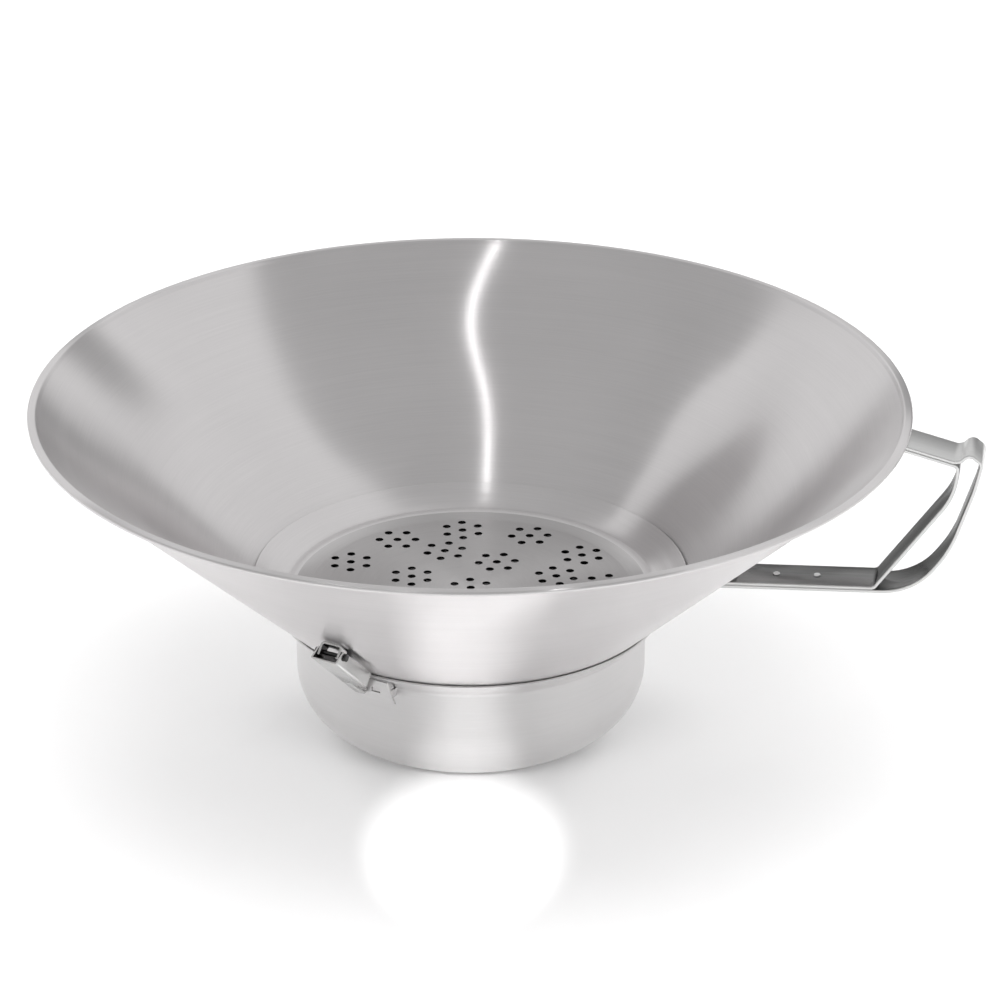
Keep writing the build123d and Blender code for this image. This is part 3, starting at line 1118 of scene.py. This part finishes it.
@dataclass
class Studio:
    """Pale floor, soft light and the camera."""

    aim: Vector = field(default_factory=lambda: Vector((0.0133, 0.0023, 0.1101)))
    azimuth: float = math.radians(-80.4)
    elevation: float = math.radians(24.81)
    distance: float = 2.122
    lens: float = 167.0
    floor_radius: float = 12.0
    floor_drop: float = 0.0002
    floor_steps: int = 96
    doorway: Point = (67.0, 6.0)
    doorway_edges: Point = (26.0, 9.0)
    doorway_depth: float = 0.6
    ceiling_slopes: tuple[tuple[float, float, float], ...] = ((0.351, -0.60, 0.719), (-0.57, -0.63, 0.526))
    ceiling_edge: float = 14.0
    ceiling_depth: float = 0.42
    pool_power: float = 80.0
    pool_reach: float = 0.13
    pool_spread: float = math.radians(5)
    pool_azimuth: float = math.radians(-91)
    pool_lamp_place: Point = (math.radians(-90), math.radians(38))
    pool_lamp_distance: float = 1.2

    def direction(self, azimuth: float, elevation: float) -> Vector:
        """Unit vector towards a place seen from the strainer.

        Args:
            azimuth: Turn from the camera's right.
            elevation: Height angle.

        Returns:
            The vector.
        """
        turn = self.azimuth + math.pi / 2 + azimuth
        return Vector((math.cos(turn) * math.cos(elevation), math.sin(turn) * math.cos(elevation),
                       math.sin(elevation)))

    def camera(self) -> None:
        """Place the camera."""
        data = bpy.data.cameras.new("camera")
        data.lens = self.lens
        data.clip_end = 60.0
        made = bpy.data.objects.new("camera", data)
        bpy.context.scene.collection.objects.link(made)
        away = Vector((math.cos(self.azimuth) * math.cos(self.elevation),
                       math.sin(self.azimuth) * math.cos(self.elevation), math.sin(self.elevation)))
        made.location = self.aim + away * self.distance
        made.rotation_euler = (-away).to_track_quat("-Z", "Y").to_euler()
        bpy.context.scene.camera = made

    def floor(self) -> None:
        """Lay the pale floor."""
        turns = [math.tau * k / self.floor_steps for k in range(self.floor_steps)]
        ring = [(self.floor_radius * math.cos(turn), self.floor_radius * math.sin(turn), -self.floor_drop)
                for turn in turns]
        material = bpy.data.materials.new("pale_floor")
        material.use_nodes = True
        graph = Graph(material.node_tree)
        shader = graph.node("BsdfDiffuse", None, Color=(0.93, 0.93, 0.93, 1.0))
        graph.node("OutputMaterial", None, Surface=Wire(graph, shader.outputs[0]))
        sheet = Sheet(points=ring)
        sheet.face(range(self.floor_steps))
        Shape.piece("floor", sheet, material)

    def world(self) -> None:
        """Light the room: pale walls, dimmer ceiling, and a dim doorway low down at the far side."""
        world = bpy.data.worlds.new("room")
        world.use_nodes = True
        bpy.context.scene.world = world
        graph = Graph(world.node_tree)
        place = Wire(graph, graph.node("TexCoord").outputs["Generated"])
        height = Wire(graph, graph.node("SeparateXYZ", None, Vector=place).outputs[2])
        walls = graph.ramp(height.clipped(), [(0.0, 0.52), (0.14, 0.72), (0.38, 0.90), (0.62, 0.88),
                                              (0.90, 0.90), (1.0, 1.0)])
        clouds = 0.86 + graph.noise(place, 3.2, 2.0) * 0.28
        toward = self.direction(math.radians(self.doorway[0]), math.radians(self.doorway[1]))
        outer, inner = (math.cos(math.radians(edge)) for edge in self.doorway_edges)
        door = graph.ramp(self.facing(graph, place, toward).clipped(), [(outer, 0.0), (inner, 1.0)])
        dim: Wire | Number = 1.0
        for slope in self.ceiling_slopes:
            dim = (self.facing(graph, place, Vector(slope)) * self.ceiling_edge + 0.5).clipped() * dim
        shade = graph.node("Background", None, Strength=1.0, Color=walls * clouds
                           * (1 - dim * self.ceiling_depth) * (1 - door * self.doorway_depth))
        graph.node("OutputWorld", None, Surface=Wire(graph, shade.outputs[0]))

    @staticmethod
    def facing(graph: Graph, place: Wire, toward: Vector) -> Wire:
        """How far two directions point the same way.

        Args:
            graph: Node tree.
            place: The direction that varies.
            toward: The fixed direction.

        Returns:
            From -1, opposite, to 1, the same.
        """
        made = graph.node("VectorMath", {"operation": "DOT_PRODUCT"})
        graph.feed(made.inputs[0], place)
        graph.feed(made.inputs[1], toward)
        return Wire(graph, made.outputs["Value"])

    def lamp(self, name: str, azimuth: float, elevation: float, reach: float, size: Point, glow: float,
             mirrored: bool = False) -> None:
        """Hang a soft lamp that faces the strainer.

        Args:
            name: Name of the lamp.
            azimuth: Turn from the camera's right, in degrees.
            elevation: Height angle, in degrees.
            reach: Distance from the strainer, in metres.
            size: Width and height of the lamp, in metres.
            glow: Brightness of its face, where the floor in full light is 1.
            mirrored: Whether polished steel shows it.
        """
        data = bpy.data.lights.new(name, "AREA")
        data.shape = "RECTANGLE"
        data.size, data.size_y = size
        data.energy = glow * math.pi * size[0] * size[1]
        made = bpy.data.objects.new(name, data)
        bpy.context.scene.collection.objects.link(made)
        made.visible_glossy = mirrored
        away = self.direction(math.radians(azimuth), math.radians(elevation))
        made.location = Vector((0, 0, 0.1)) + away * reach
        made.rotation_euler = (-away).to_track_quat("-Z", "Y").to_euler()

    def pool(self) -> None:
        """Light a small patch of floor in front of the cup, which the cup's wall reflects."""
        data = bpy.data.lights.new("pool_lamp", "SPOT")
        data.energy = self.pool_power
        data.spot_size = self.pool_spread
        data.spot_blend = 1.0
        made = bpy.data.objects.new("pool_lamp", data)
        bpy.context.scene.collection.objects.link(made)
        made.visible_glossy = False
        target = self.direction(self.pool_azimuth, 0.0) * self.pool_reach
        away = self.direction(*self.pool_lamp_place)
        made.location = target + away * self.pool_lamp_distance
        made.rotation_euler = (-away).to_track_quat("-Z", "Y").to_euler()

    def build(self) -> None:
        """Set up the room."""
        self.camera()
        self.floor()
        self.world()
        self.lamp("streak_lamp", -90, 70, 1.6, (0.04, 0.9), 10.5, mirrored=True)
        self.lamp("ceiling_panel", 90, 88, 2.6, (2.2, 2.2), 1.6)
        for number, azimuth in enumerate((-130, -50, 50, 130)):
            self.lamp(f"low_panel_{number}", azimuth, 20, 1.7, (1.0, 0.6), 4.6)
        self.pool()
        bpy.context.scene.view_settings.view_transform = "Standard"


# ---------------------------------------------------------------- main


def finishes() -> dict[Slot, bpy.types.Material]:
    """Build each finish once."""
    return {Slot.BOWL: BOWL_STEEL.material(), Slot.CUP: CUP_STEEL.material(),
            Slot.SIEVE: SIEVE_STEEL.material(), Slot.STRAP: STRAP_STEEL.material(),
            Slot.CATCH: CATCH_STEEL.material(), Slot.FIXING: FIXING_STEEL.material()}


def sieves(bowl: Bowl, cup: Cup) -> Iterable[Sieve]:
    """Size the two sieves.

    Args:
        bowl: The bowl, which holds the upper one.
        cup: The cup, which holds the lower one.

    Yields:
        The upper sieve and then the lower one.
    """
    gap, sheet = 0.35 * MM, 1.0 * MM
    upper_height = 63.8 * MM + sheet + gap
    offset = -(2.5 * sheet + gap)
    upper_rim = 99.0 * MM
    rise = upper_rim - bowl.radius(bowl.seam_height, offset)
    yield Sieve("sieve_upper", "upper_sieve", Body.UPPER_SIEVE, upper_height,
                bowl.radius(upper_height, offset),
                (upper_rim, bowl.seam_height + rise * math.tan(bowl.slope)), 24.0 * MM)
    lower_height, lower_rim = 56.0 * MM, 86.2 * MM
    wall = cup.wall_radius - cup.sheet / 2
    lean = math.atan2(cup.lip_height - cup.shoulder_height, cup.lip_radius - wall)
    corner = wall + (lower_height - cup.shoulder_height) / math.tan(lean) - (sheet + gap) / math.sin(lean)
    yield Sieve("sieve_lower", "lower_sieve", Body.LOWER_SIEVE, lower_height, corner,
                (lower_rim, lower_height + (lower_rim - corner) * math.tan(lean)), 5.0 * MM, turn=17.0)


def main() -> None:
    """Build the strainer's pieces in order and set up the room."""
    logging.basicConfig(level=logging.INFO, format="%(name)s: %(message)s")
    Studio().build()
    steels = finishes()
    bowl, cup = Bowl(), Cup()
    pieces = bowl.build(steels[Slot.BOWL]) + cup.build(steels[Slot.CUP])
    # Hole walls take the near-black painted shade, and the bead band the lighter painted highlight.
    sieve_finishes = (steels[Slot.SIEVE], HOLE_PAINTED_SHADE.material(), steels[Slot.BOWL], BEAD_PAINTED_HIGHLIGHT.material())
    for sieve in sieves(bowl, cup):
        pieces += sieve.build(*sieve_finishes)
    # The straps' finger sides take the darker painted shade.
    pieces += Handle(bowl).build(steels[Slot.STRAP], STRAP_PAINTED_SHADE.material())
    # Near-black painted shade for the catches' inner sides and the pins.
    inside = CATCH_PAINTED_SHADE.material()
    for side, azimuth, body in (("front", -110.5, Body.CATCH_FRONT), ("rear", 69.5, Body.CATCH_REAR)):
        pieces += Catch(bowl, side, azimuth, body).build(steels[Slot.CATCH], inside)
    for piece in pieces:
        piece.settle()
    SmallSteel().build(steels, inside)


if __name__ == "__main__":
    main()
